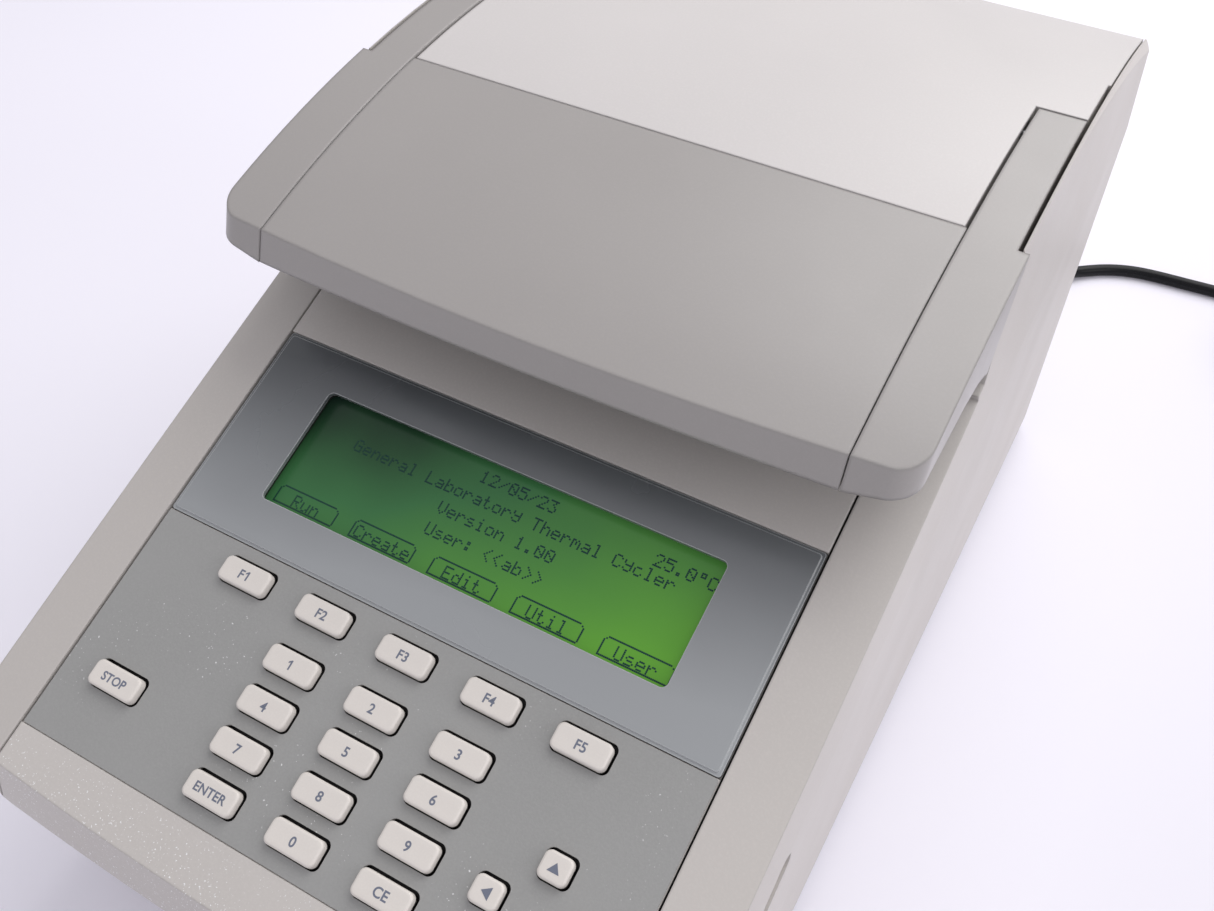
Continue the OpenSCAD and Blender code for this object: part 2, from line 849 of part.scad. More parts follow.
module lever_panel() {
    w = arm_in - 0.4;
    end_wall_y = -41.2;
    color([0.62, 0.60, 0.58]) {
        difference() {
            intersection() {
                along_x(-w, w) lid_side_view(-70, panel_edge - seam / 2, lid_bottom + 1.2, 0);
                lid_trim();
            }
            // Hollow from below
            along_x(-w + 2, w - 2) lip_hollow(panel_edge - 2.5, skin);
            along_x(-w - 1, w + 1) lid_side_view(end_wall_y, panel_edge + 1, 150, 14);
            both_sides()
                box(w - 3, w + 1, end_wall_y - 6, panel_edge + 1, 180, 199);
        }
        // Posts down to the steel frame
        for (x = [-75, -25, 25, 75])
            translate([x, -36, 195.5]) cylinder(h = lid_z(-36) - 195.5 - 1, r = 3.5);
    }
}

ear_foot_z = 184.5;
ARM_UNDERSIDE = [[-70, 190], [-42, 191], [-30, 192.8], [-8, 193.4], [4, 191.2], [12, 187.5]];

module lever_arm() {
    difference() {
        union() {
            // Wide front part with the ear, clear of the fin's sloping edge
            intersection() {
                along_x(arm_in, ear_out)
                    intersection() {
                        polygon(concat(ARM_UNDERSIDE, [
                            [fin_edge_y(ear_foot_z) - ear_gap, ear_foot_z],
                            [fin_edge_y(240) - ear_gap, 240], [-70, 240]
                        ]));
                        lid_disc(0);
                    }
                lid_trim();
            }
            // Narrow rear part
            along_x(arm_in, arm_out) lid_side_view(10, arm_end, 204, 0);
        }
        // Hollow from below
        along_x(arm_in + 2.5, ear_out - 3.5) lip_hollow(8, skin);
        along_x(arm_in + 2.5, arm_out - 2.5) lid_side_view(7, pivot_y - 12, 150, skin);
        box(arm_in - 1, arm_in + 3, -47.2, 8, 150, 199);
        // Underside of the ear rises to the outside
        translate([arm_in, -70, 191])
            rotate([0, -atan(underside_rise), 0])
                translate([-5, 0, -20]) cube([30, 62, 20]);
        rod_x(arm_in - 1, arm_out + 1, pivot_y, pivot_z, pivot_r);
    }
    // Posts down to the steel frame
    for (y = [-30, 0])
        translate([106, y, 197]) cylinder(h = lid_z(y) - 197 - 1, r = 3);
}

module lever_arms() {
    color([0.63, 0.61, 0.59])
        both_sides() lever_arm();
}

module lever_frame() {
    color([0.60, 0.61, 0.63]) {
        box(-108, 108, -42, -30, 192, 195.5);
        both_sides() {
            box(104, 108, -42, 8, 192.6, 197);
            // Latch tongue behind the control panel
            box(arm_in - 1.6, arm_in - 0.4, -21, -13, 160.5, 195.5);
            box(arm_in - 1.6, 105, -21, -13, 192, 195.5);
        }
    }
}

module lever_pins() {
    color([0.80, 0.81, 0.82])
        both_sides()
            rod_x(arm_in - 6, arm_out - 0.5, pivot_y, pivot_z, pivot_r);
}

// ---------- lid: cover ----------

arm_sweep = norm([arm_end - pivot_y, lid_z(arm_end) - pivot_z]);

module cover_shell() {
    front_w = arm_in - slot_w;
    notch_y = arm_end + notch_gap;
    color([0.86, 0.84, 0.81]) {
        difference() {
            union() {
                along_x(-front_w, front_w) lid_side_view(panel_edge + seam / 2, arm_end + 5, 206, 0);
                along_x(-arm_out, arm_out) lid_side_view(notch_y, cover_step + 1, cover_bottom, 0);
                intersection() {
                    along_x(-cover_side, cover_side)
                        union() {
                            lid_side_view(cover_step, cover_rear, cover_bottom, 0);
                            lid_side_view(180, cover_rear, cover_rear_bottom, 0);
                        }
                    along_x(-cover_side - 1, cover_side + 1)
                        polygon(concat(
                            [[0, 150], [cover_rear, 150]], rear_corner(cover_rear, 4),
                            [above_corner(cover_rear, 4), [0, 250]]
                        ));
                }
            }
            // Hollow from below
            along_x(-front_w + 3, front_w - 3) lid_side_view(panel_edge + 3, arm_end + 5, 150, skin);
            along_x(-arm_out + 3, arm_out - 3) lid_side_view(notch_y + 3, cover_step + 4, 150, skin);
            along_x(-cover_side + 3, cover_side - 3)
                lid_side_view(cover_step, cover_rear - 3, 150, skin);
            along_x(-front_w + 3, front_w - 3) lid_side_view(arm_end - 5, cover_step, 150, skin);
            // Room for the pivot lugs of the liner
            both_sides()
                box(88, front_w + 1, pivot_y - 6, pivot_y + 6, 200, pivot_z + 3.4);
            // Round groove in which the arms' rear ends turn
            both_sides()
                rod_x(front_w, arm_out + 1, pivot_y, pivot_z, arm_sweep + notch_gap);
            // Openings for the hinge brackets
            both_sides()
                box(96, 112, 180, cover_rear + 1, 180, 201);
        }
        // Ribs that stand on the liner and on the hinge arms
        for (x = [-60, 0, 60])
            box(x - 1.5, x + 1.5, 60, 175, 202.5, 208);
        for (x = [-60, 0, 60], y = [60, 110, 160])
            translate([x, y, 204]) cylinder(h = lid_z(y) - 206, r = 3.5);
        both_sides()
            for (y = [hinge_y - 44, hinge_y - 26])
                translate([104, y, 203]) cylinder(h = lid_z(y) - 205, r = 3);
    }
}

liner_w = 92;
liner_t = 2.5;
liner_front = -22;
liner_rear = 178;
liner_bottom = 170;
liner_top = 202.5;
guide_r = 3;
guide_places = [for (x = [-66, 66], y = [block_y - 30, block_y + 30]) [x, y]];

module cover_liner() {
    color([0.30, 0.31, 0.32])
        difference() {
            union() {
                difference() {
                    box(-liner_w, liner_w, liner_front, liner_rear, liner_bottom, liner_top);
                    box(
                        -liner_w + liner_t, liner_w - liner_t, liner_front + liner_t,
                        liner_rear - liner_t, 150, liner_top - liner_t
                    );
                }
                // Guide posts of the platen
                for (p = guide_places)
                    translate([p[0], p[1], 178]) cylinder(h = liner_top - 179, r = guide_r);
                // Lugs that carry the pivots of the arms
                both_sides() {
                    box(89, 95.5, pivot_y - 5, pivot_y + 5, liner_top - 5, pivot_z);
                    rod_x(89, 95.5, pivot_y, pivot_z, 2.8);
                }
            }
            both_sides()
                rod_x(85, 97, pivot_y, pivot_z, pivot_r + run_gap);
        }
}

platen_z = 178;
platen_h = 7;

module platen() {
    color([0.72, 0.73, 0.74])
        difference() {
            union() {
                translate([0, block_y, platen_z]) round_plate(116, 82, platen_h, 3);
                translate([0, block_y, platen_z + platen_h - 3]) round_plate(146, 76, 3, 4);
            }
            for (p = guide_places)
                translate([p[0], p[1], platen_z - 1]) cylinder(h = platen_h + 2, r = guide_r + run_gap);
            // Shallow dimples over the wells
            for (i = [0:11], j = [0:7])
                translate([(i - 5.5) * well_pitch, block_y + (j - 3.5) * well_pitch, platen_z - eps])
                    cylinder(h = 0.8, r = 3, $fn = 16);
        }
}

module heater_pad() {
    color([0.78, 0.36, 0.16])
        translate([0, block_y, platen_z + platen_h]) round_plate(108, 70, 1.5, 2);
}

// ---------- mains cord ----------

module cord_socket() {
    relief_rings = 5;
    color([0.07, 0.07, 0.08])
        difference() {
            union() {
                box(inlet_x - 12, inlet_x + 12, hd - 15, hd + 1, rear_z - 8, rear_z + 8);
                translate([inlet_x, hd + 1 - eps, rear_z])
                    rotate([-90, 0, 0]) round_plate(27, 21, plug_back - hd - 1, 3);
                translate([inlet_x, plug_back - eps, rear_z])
                    rotate([-90, 0, 0]) cylinder(h = relief_back - plug_back, r1 = 6.5, r2 = 4.2);
                for (i = [0:relief_rings - 1])
                    translate([inlet_x, plug_back + 3 + i * 5, rear_z])
                        rotate([-90, 0, 0]) cylinder(h = 2, r = 6.6 - i * 0.4);
            }
            for (p = BLADES)
                translate([inlet_x + p[0], 0, rear_z + p[1]])
                    box(-1.6, 1.6, hd - 16, hd - 1, -2.8, 2.8);
        }
}

function unit(a) = a / norm(a);
function route_dir(r, i) = unit(r[min(i + 1, len(r) - 1)] - r[max(i - 1, 0)]);
function route_ring(r, i, radius, sides) =
    let (d = route_dir(r, i), s = unit(cross(d, [0, 0, 1])), u = cross(s, d))
    [for (k = [0:sides - 1]) r[i] + radius * (cos(k * 360 / sides) * s + sin(k * 360 / sides) * u)];

module swept_tube(route, radius, sides) {
    n = len(route);
    points = [for (i = [0:n - 1]) each route_ring(route, i, radius, sides)];
    walls = [
        for (i = [0:n - 2], k = [0:sides - 1])
            let (a = i * sides + k, b = i * sides + (k + 1) % sides)
            [a, b, b + sides, a + sides]
    ];
    first = [for (k = [sides - 1:-1:0]) k];
    last = [for (k = [0:sides - 1]) (n - 1) * sides + k];
    polyhedron(points = points, faces = concat(walls, [first, last]), convexity = 6);
}

module cord_lead() {
    color([0.06, 0.06, 0.07]) swept_tube(CORD_ROUTE, cord_d / 2, 10);
}

module cord_coil() {
    color([0.06, 0.06, 0.07])
        translate([coil_x, coil_y, 0])
            rotate_extrude($fn = 96)
                translate([coil_mid_r, coil_h / 2]) round_rect(coil_w, coil_h, cord_d / 2);
}

// The plug lies flat in front of the coil, blades pointing forwards.
plug_x = coil_x + coil_mid_r + cord_d;
plug_y = coil_y - 107;
plug_z = 12.5;

module mains_plug() {
    color([0.07, 0.07, 0.08]) {
        translate([plug_x, plug_y, plug_z])
            rotate([-90, 0, 0]) round_plate(27, 2 * plug_z, 34, 5);
        translate([plug_x, plug_y + 34 - eps, plug_z])
            rotate([-90, 0, 0]) cylinder(h = 24, r1 = 7, r2 = 4.2);
    }
    color([0.80, 0.78, 0.70]) {
        for (s = [-1, 1])
            translate([plug_x + s * 6.35 - 0.75, plug_y - 17, plug_z]) cube([1.5, 18, 6.4]);
        rod_y(plug_x, plug_y - 20, plug_y + 1, plug_z - 7.5, 2.4);
    }
}

// ---------- drawing ----------

upper_case();
base_pan();
rubber_feet();
control_panel();
keypad_overlay();
display_bezel();
lcd_module();
key_membrane();
keypad_board();
side_grilles();
deck_plate();
block_gasket();
sample_block();
peltier_modules();
heatsink();
fan_frame();
fan_rotor();
main_board();
power_supply();
power_inlet();
power_switch();
serial_port();
hinge_brackets();
hinge_pins();
case_screws();
cover_shell();
cover_liner();
hinge_arms();
platen();
heater_pad();
lever_panel();
lever_arms();
lever_frame();
lever_pins();
cord_socket();
cord_lead();
cord_coil();
mains_plug();
for (k = KEYS)
    key(k);
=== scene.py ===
import math

import bpy
from mathutils import Matrix, Vector


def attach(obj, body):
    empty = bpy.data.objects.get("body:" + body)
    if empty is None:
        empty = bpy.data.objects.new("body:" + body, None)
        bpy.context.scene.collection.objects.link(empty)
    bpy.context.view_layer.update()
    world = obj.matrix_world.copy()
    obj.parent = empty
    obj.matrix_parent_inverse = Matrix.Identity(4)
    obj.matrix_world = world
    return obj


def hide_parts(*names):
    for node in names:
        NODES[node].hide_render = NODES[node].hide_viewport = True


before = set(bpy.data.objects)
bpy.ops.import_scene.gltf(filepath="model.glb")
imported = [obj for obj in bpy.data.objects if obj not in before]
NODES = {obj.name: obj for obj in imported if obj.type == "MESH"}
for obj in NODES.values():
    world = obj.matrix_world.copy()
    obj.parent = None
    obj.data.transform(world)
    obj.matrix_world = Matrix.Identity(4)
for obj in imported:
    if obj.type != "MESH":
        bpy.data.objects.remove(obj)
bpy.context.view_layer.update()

SCENE = bpy.context.scene
MM = 0.001

# ---------------------------------------------------------------- camera

CAM_PLACE = Vector((0.1503, -0.2753, 0.4323))
CAM_RIGHT = Vector((0.87123, 0.49081, 0.00751))
CAM_DOWN = Vector((0.3596, -0.62775, -0.69037))
CAM_AHEAD = Vector((-0.33413, 0.60418, -0.72341))
SENSOR_MM = 36.0
LENS_MM = 36.61
CLIP_NEAR, CLIP_FAR = 0.01, 20.0


def make_camera():
    data = bpy.data.cameras.new("camera")
    data.sensor_width = SENSOR_MM
    data.lens = LENS_MM
    data.clip_start = CLIP_NEAR
    data.clip_end = CLIP_FAR
    cam = bpy.data.objects.new("camera", data)
    SCENE.collection.objects.link(cam)
    turn = Matrix((CAM_RIGHT, -CAM_DOWN, -CAM_AHEAD)).transposed()
    turn = turn.to_quaternion().to_matrix().to_4x4()
    cam.matrix_world = Matrix.Translation(CAM_PLACE) @ turn
    SCENE.camera = cam


make_camera()

# ---------------------------------------------------------------- helpers


def lin(*rgb):
    """An 8-bit display colour as linear light."""
    out = []
    for c in rgb:
        c = c / 255
        out.append(c / 12.92 if c <= 0.04045 else ((c + 0.055) / 1.055) ** 2.4)
    return (*out, 1.0)


def new_object(name, mesh, body, material):
    """A visible piece of one material that rides on a body."""
    obj = bpy.data.objects.new(name, mesh)
    SCENE.collection.objects.link(obj)
    mesh.materials.append(material)
    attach(obj, body)
    return obj


def smooth(mesh, angle):
    """Smooth shading, with edges sharper than the angle kept."""
    mesh.shade_smooth()
    mesh.set_sharp_from_angle(angle=math.radians(angle))


# The control panel's own axes: x to the right, v up the slope, h out of it.
SLOPE = math.radians(19.53)
PANEL_ZERO = Vector((0.0, -187.8 * MM, 108.26 * MM))
PANEL_V = Vector((0.0, math.cos(SLOPE), math.sin(SLOPE)))
PANEL_N = Vector((0.0, -math.sin(SLOPE), math.cos(SLOPE)))


def on_panel(x, v, h):
    """A point on the control panel, from millimetres."""
    return PANEL_ZERO + Vector((x * MM, 0, 0)) + PANEL_V * (v * MM) + PANEL_N * (h * MM)


def prism_faces(n, first=0):
    """Top, bottom and sides over two rings of n vertices, lower ring first."""
    faces = [
        tuple(first + n + k for k in range(n)),
        tuple(first + k for k in range(n - 1, -1, -1)),
    ]
    for k in range(n):
        a, b = first + k, first + (k + 1) % n
        faces.append((a, b, b + n, a + n))
    return faces


def new_mesh(name, verts, faces):
    mesh = bpy.data.meshes.new(name)
    mesh.from_pydata(verts, [], faces)
    return mesh


def prism(name, ring, heights):
    """A closed solid: an outline of (x, v) on the control panel between two heights."""
    verts = [on_panel(x, v, h) for h in heights for x, v in ring]
    return new_mesh(name, verts, prism_faces(len(ring)))


# ---------------------------------------------------------------- materials

# Sockets of the colour Mix node, which share names with its other types.
MIX_A, MIX_B, MIX_RESULT = 6, 7, 2
SURFACE_SAMPLES, MASK_SAMPLES = 4, 6
GRAIN_DEPTH = 0.06 * MM
BRUSH_DEPTH = 0.03 * MM
CORD_DEPTH = 0.08 * MM
OVERLAY_DEPTH = 0.08 * MM
BOARD_DEPTH = 0.1 * MM
GLASS_DEPTH = 0.02 * MM


class Tree:
    """A small builder of one material's nodes."""

    def __init__(self, name):
        self.mat = bpy.data.materials.new(name)
        self.mat.use_nodes = True
        self.tree = self.mat.node_tree
        self.tree.nodes.clear()
        self.out = self.node("ShaderNodeOutputMaterial")
        self.bsdf = self.node("ShaderNodeBsdfPrincipled")
        self.link(self.bsdf.outputs[0], self.out.inputs[0])
        self.coords = self.node("ShaderNodeTexCoord").outputs["Object"]

    def node(self, kind, **values):
        n = self.tree.nodes.new(kind)
        for key, value in values.items():
            setattr(n, key, value)
        return n

    def link(self, a, b):
        self.tree.links.new(a, b)

    def noise(self, scale, detail=2.0, rough=0.5, stretch=None):
        n = self.node("ShaderNodeTexNoise")
        n.inputs["Scale"].default_value = scale
        n.inputs["Detail"].default_value = detail
        n.inputs["Roughness"].default_value = rough
        src = self.coords
        if stretch:
            m = self.node("ShaderNodeMapping")
            m.inputs["Scale"].default_value = stretch
            self.link(src, m.inputs["Vector"])
            src = m.outputs[0]
        self.link(src, n.inputs["Vector"])
        return n.outputs["Fac"]

    def ramp(self, src, low, high, a=0.0, b=1.0):
        n = self.node("ShaderNodeMapRange")
        n.inputs["From Min"].default_value = low
        n.inputs["From Max"].default_value = high
        n.inputs["To Min"].default_value = a
        n.inputs["To Max"].default_value = b
        self.link(src, n.inputs["Value"])
        return n.outputs[0]

    def mix(self, fac, a, b):
        n = self.node("ShaderNodeMix", data_type="RGBA")
        self.put(fac, n.inputs["Factor"])
        self.put(a, n.inputs[MIX_A])
        self.put(b, n.inputs[MIX_B])
        return n.outputs[MIX_RESULT]

    def put(self, value, socket):
        """Link a socket, or set a plain value."""
        if isinstance(value, bpy.types.NodeSocket):
            self.link(value, socket)
        else:
            socket.default_value = value

    def math(self, op, a, b=0.0):
        n = self.node("ShaderNodeMath", operation=op)
        self.put(a, n.inputs[0])
        self.put(b, n.inputs[1])
        return n.outputs[0]

    def axis(self, name):
        n = self.node("ShaderNodeSeparateXYZ")
        self.link(self.coords, n.inputs[0])
        return n.outputs[name]

    def panel_height(self):
        """Height above the control panel's plane, in metres."""
        y = self.math("MULTIPLY", self.axis("Y"), PANEL_N.y)
        z = self.math("MULTIPLY", self.axis("Z"), PANEL_N.z)
        return self.math("SUBTRACT", self.math("ADD", y, z), PANEL_ZERO.dot(PANEL_N))

    def edge_mask(self, radius):
        """Zero on flat faces, and up to one along the edges."""
        bevel = self.node("ShaderNodeBevel", samples=MASK_SAMPLES)
        bevel.inputs["Radius"].default_value = radius
        dot = self.node("ShaderNodeVectorMath", operation="DOT_PRODUCT")
        self.link(bevel.outputs[0], dot.inputs[0])
        self.link(self.node("ShaderNodeNewGeometry").outputs["Normal"], dot.inputs[1])
        return self.math("SUBTRACT", 1.0, dot.outputs["Value"])

    def colour(self, value):
        self.put(value, self.bsdf.inputs["Base Color"])

    def rough(self, value):
        self.put(value, self.bsdf.inputs["Roughness"])

    def specular(self, value):
        self.bsdf.inputs["Specular IOR Level"].default_value = value

    def clouds(self, scale, detail, low, high):
        """A slow wandering between two values."""
        return self.ramp(self.noise(scale, detail), 0.3, 0.7, low, high)

    def surface(self, heights, edge):
        """Bump from (height, strength, distance) triples, on softened edges."""
        normal = None
        if edge:
            bevel = self.node("ShaderNodeBevel", samples=SURFACE_SAMPLES)
            bevel.inputs["Radius"].default_value = edge
            normal = bevel.outputs[0]
        for height, strength, distance in heights:
            bump = self.node("ShaderNodeBump")
            bump.inputs["Strength"].default_value = strength
            bump.inputs["Distance"].default_value = distance
            self.link(height, bump.inputs["Height"])
            if normal:
                self.link(normal, bump.inputs["Normal"])
            normal = bump.outputs[0]
        if normal:
            self.link(normal, self.bsdf.inputs["Normal"])


def shade(colour, factor):
    """The colour made darker or lighter."""
    return (*[min(1.0, c * factor) for c in colour[:3]], 1.0)


WEAR = 0.06


def plastic(name, colour, rough, grain, bump, edge, blotch, spec=0.5):
    """Moulded plastic: fine spark texture, cloudy tone, and slightly polished patches."""
    t = Tree(name)
    cloud = t.noise(9, 3)
    fine = t.noise(grain, 2, 0.6)
    base = t.mix(t.ramp(cloud, 0.35, 0.65), shade(colour, 1 - blotch), shade(colour, 1 + blotch))
    base = t.mix(t.ramp(fine, 0.45, 0.75, 0, 0.35), base, shade(colour, 1.10))
    t.colour(base)
    t.rough(t.clouds(24, 4, rough - WEAR, rough + WEAR))
    t.specular(spec)
    t.surface([(fine, bump, GRAIN_DEPTH)], edge)
    return t.mat


def metal(name, colour, rough, edge=0.0003, brushed=None):
    """Bare metal, brushed along one way where a stretch is given."""
    t = Tree(name)
    cloud = t.noise(30, 3)
    line = t.noise(600, 2, 0.5, brushed) if brushed else t.noise(900, 2)
    base = t.mix(t.ramp(cloud, 0.3, 0.7), shade(colour, 0.9), shade(colour, 1.06))
    t.colour(base)
    t.bsdf.inputs["Metallic"].default_value = 1.0
    t.rough(t.ramp(line, 0.3, 0.7, rough - 0.1, rough + 0.1))
    t.surface([(line, 0.12, BRUSH_DEPTH)], edge)
    return t.mat


BEZEL_FRONT, BEZEL_BACK, BEZEL_HALF = -0.112, -0.048, 0.098
# Radius of the painted highlight along the film's edges.
BEZEL_HIGHLIGHT_RADIUS = 0.6 * MM


def bezel_film():
    """Glossy blue-grey film, with painted shade that deepens it towards its upper edge and its left
    side, and a painted highlight along its edges.
    """
    t = Tree("bezel_blue_grey")
    # Painted shade: darker towards the upper edge, under the lid, and towards the left.
    up = t.ramp(t.axis("Y"), BEZEL_FRONT, BEZEL_BACK)
    cloud = t.clouds(18, 3, -0.05, 0.05)
    left = t.ramp(t.axis("X"), -BEZEL_HALF, BEZEL_HALF, 0.10, -0.22)
    fac = t.math("ADD", t.math("ADD", up, cloud), left)
    base = t.mix(fac, lin(157, 160, 162), lin(74, 78, 81))
    # Painted highlight: a pale line along the film's edges.
    rim_highlight = t.ramp(t.edge_mask(BEZEL_HIGHLIGHT_RADIUS), 0.01, 0.12, 0, 0.7)
    base = t.mix(rim_highlight, base, lin(214, 217, 218))
    t.colour(base)
    t.rough(t.clouds(24, 4, 0.20, 0.30))
    t.specular(0.9)
    t.surface([(t.noise(2200, 2), 0.04, GRAIN_DEPTH)], 0.5 * MM)
    return t.mat


def speckled_overlay():
    """Embossed film: mid grey, with dust caught in its texture."""
    t = Tree("overlay_film")
    colour = lin(156, 156, 154)
    fine = t.noise(1500, 3, 0.65)
    cloud = t.noise(14, 3)
    base = t.mix(t.ramp(cloud, 0.3, 0.7), shade(colour, 0.95), shade(colour, 1.05))
    base = t.mix(t.ramp(fine, 0.4, 0.75, 0, 0.5), base, shade(colour, 1.18))
    dust = t.ramp(t.noise(1200, 1), 0.72, 0.745)
    patch = t.ramp(t.noise(38, 2), 0.50, 0.62)
    base = t.mix(t.math("MULTIPLY", dust, patch), base, lin(228, 228, 228))
    t.colour(base)
    t.rough(t.ramp(fine, 0.3, 0.7, 0.38, 0.55))
    t.surface([(fine, 0.5, OVERLAY_DEPTH)], 0)
    return t.mat


PALM_FADE, PALM_BACK = -0.192, -0.1875
# Where the painted shade in the key holes begins along Y, and where it is full.
HOLE_SHADE_FRONT, HOLE_SHADE_FULL = -0.190, -0.187


def case_plastic(name, specks_and_hole_shade):
    """Beige-grey case plastic. For the panel: bright specks, and painted shade in the key holes
    below its face.
    """
    t = Tree(name)
    colour = lin(202, 197, 192) if specks_and_hole_shade else lin(196, 191, 186)
    cloud = t.noise(7, 3)
    fine = t.noise(1300, 2, 0.6)
    base = t.mix(t.ramp(cloud, 0.35, 0.65), shade(colour, 0.965), shade(colour, 1.03))
    base = t.mix(t.ramp(fine, 0.45, 0.75, 0, 0.4), base, shade(colour, 1.12))
    if specks_and_hole_shade:
        dust = t.ramp(t.noise(1600, 1), 0.68, 0.71)
        near = t.ramp(t.axis("Y"), PALM_FADE, PALM_BACK, 1, 0)
        patch = t.ramp(t.noise(60, 3), 0.25, 0.5)
        dust = t.math("MULTIPLY", t.math("MULTIPLY", dust, patch), near)
        base = t.mix(dust, base, lin(246, 246, 246))
        # Painted shade: the walls of the key holes, more than a millimetre under the panel's face,
        # turn near black.
        sunk_shade = t.ramp(t.panel_height(), -1.0 * MM, -1.6 * MM)
        behind_shade = t.ramp(t.axis("Y"), HOLE_SHADE_FRONT, HOLE_SHADE_FULL)
        base = t.mix(t.math("MULTIPLY", sunk_shade, behind_shade), base, lin(34, 31, 30))
    t.colour(base)
    t.rough(t.clouds(20, 4, 0.40, 0.52))
    t.surface([(fine, 0.3, GRAIN_DEPTH)], 0.9 * MM)
    return t.mat


LCD_FRONT, LCD_BACK, LCD_HALF = -0.101, -0.058, 0.076
LCD_GLOW = 0.30


def lcd_green():
    """Backlit display, with painted shade that dims it towards the upper left, under the lid, and
    brighter towards the lower right.
    """
    t = Tree("lcd_green")
    # Painted shade: darker towards the left and towards the upper edge; the glow takes the same
    # colour.
    across = t.ramp(t.axis("X"), -LCD_HALF, LCD_HALF)
    along = t.ramp(t.axis("Y"), LCD_FRONT, LCD_BACK, 1, 0)
    fac = t.math("ADD", t.math("MULTIPLY", across, 0.72), t.math("MULTIPLY", along, 0.42))
    fac = t.math("ADD", fac, t.clouds(22, 2, -0.07, 0.07))
    low = t.mix(t.ramp(fac, 0.05, 0.45), lin(20, 34, 28), lin(54, 102, 61))
    base = t.mix(t.ramp(fac, 0.45, 1.0), low, lin(88, 148, 50))
    t.colour(base)
    t.link(base, t.bsdf.inputs["Emission Color"])
    t.bsdf.inputs["Emission Strength"].default_value = LCD_GLOW
    t.rough(0.22)
    t.specular(0.25)
    t.surface([(t.noise(2500, 1), 0.02, GLASS_DEPTH)], 0)
    return t.mat


def lcd_ink():
    """Dots of the display, washed out towards the left."""
    t = Tree("lcd_ink")
    across = t.ramp(t.axis("X"), -0.070, 0.030)
    base = t.mix(across, lin(30, 68, 56), lin(8, 50, 56))
    base = t.mix(t.ramp(t.noise(800, 1), 0.35, 0.65, 0, 0.4), base, lin(22, 70, 62))
    t.colour(base)
    t.rough(0.3)
    t.specular(0.25)
    return t.mat


def cord_black():
    """Smooth black jacket of the mains cord."""
    t = Tree("cord_black")
    fine = t.noise(700, 3)
    base = t.mix(t.ramp(fine, 0.3, 0.7), lin(9, 9, 12), lin(19, 19, 23))
    t.colour(base)
    t.rough(t.clouds(60, 3, 0.24, 0.36))
    t.specular(0.2)
    t.surface([(fine, 0.15, CORD_DEPTH)], 0)
    return t.mat


def board_green():
    """Circuit board: green mask with paler copper tracks."""
    t = Tree("board_green")
    tracks = t.node("ShaderNodeTexBrick", offset=0.4)
    tracks.inputs["Scale"].default_value = 90
    tracks.inputs["Mortar Size"].default_value = 0.03
    t.link(t.coords, tracks.inputs["Vector"])
    base = t.mix(tracks.outputs["Fac"], lin(18, 92, 52), lin(52, 128, 78))
    base = t.mix(t.ramp(t.noise(40, 3), 0.3, 0.7, 0, 0.4), base, lin(10, 66, 40))
    t.colour(base)
    t.rough(0.3)
    t.surface([(tracks.outputs["Fac"], 0.3, BOARD_DEPTH)], 0.2 * MM)
    return t.mat


# Plastics: name, colour, roughness, grain, bump, soft edge, blotches, specular.
M = {
    "case": case_plastic("case_beige", False),
    "panel": case_plastic("panel_beige", True),
    "cover": plastic("cover_cream", lin(207, 203, 201), 0.40, 1300, 0.22, 0.0012, 0.012),
    "lever": plastic("lever_grey", lin(162, 158, 155), 0.36, 1300, 0.25, 0.0016, 0.02, 0.8),
    "overlay": speckled_overlay(),
    "bezel": bezel_film(),
    "lcd": lcd_green(),
    "ink": lcd_ink(),
    "key": plastic("key_white", lin(226, 220, 213), 0.42, 1800, 0.15, 0.0, 0.015),
    # Near black flange and lower side of the keys: painted shade in the gap around each key.
    "skirt_painted_shade": plastic("key_skirt_painted_shade", lin(42, 39, 38), 0.6, 1800, 0.15, 0.0, 0.03),
    "legend": plastic("legend_ink", lin(112, 118, 134), 0.5, 2500, 0.05, 0.0, 0.04),
    "grille": plastic("grille_brown", lin(112, 106, 98), 0.6, 1500, 0.3, 0.0003, 0.05),
    "deck": plastic("deck_charcoal", lin(86, 88, 92), 0.5, 1400, 0.3, 0.0006, 0.04),
    "black": plastic("black_moulded", lin(30, 30, 33), 0.42, 1500, 0.3, 0.0005, 0.1),
    "rubber": plastic("rubber_black", lin(34, 34, 36), 0.75, 900, 0.5, 0.0006, 0.1, 0.3),
    "silicone": plastic("silicone_amber", lin(206, 178, 150), 0.55, 900, 0.2, 0.0004, 0.05, 0.4),
    "ceramic": plastic("ceramic_white", lin(236, 235, 230), 0.35, 1200, 0.1, 0.0002, 0.03),
    "pad": plastic("heater_amber", lin(196, 112, 52), 0.4, 900, 0.2, 0.0002, 0.08),
    "block": metal("block_silver", lin(214, 215, 217), 0.3),
    "aluminium": metal("aluminium_drawn", lin(196, 198, 202), 0.38, 0.0003, (1, 0.05, 1)),
    "steel": metal("steel_zinc", lin(176, 178, 182), 0.36, 0.0004),
    "painted": plastic("painted_steel", lin(58, 58, 60), 0.45, 1200, 0.2, 0.0004, 0.05),
    "pin": metal("pin_ground", lin(204, 205, 208), 0.24, 0.0002),
    "shell": metal("connector_shell", lin(190, 192, 196), 0.22, 0.0003),
    "board": board_green(),
    "cord": cord_black(),
}

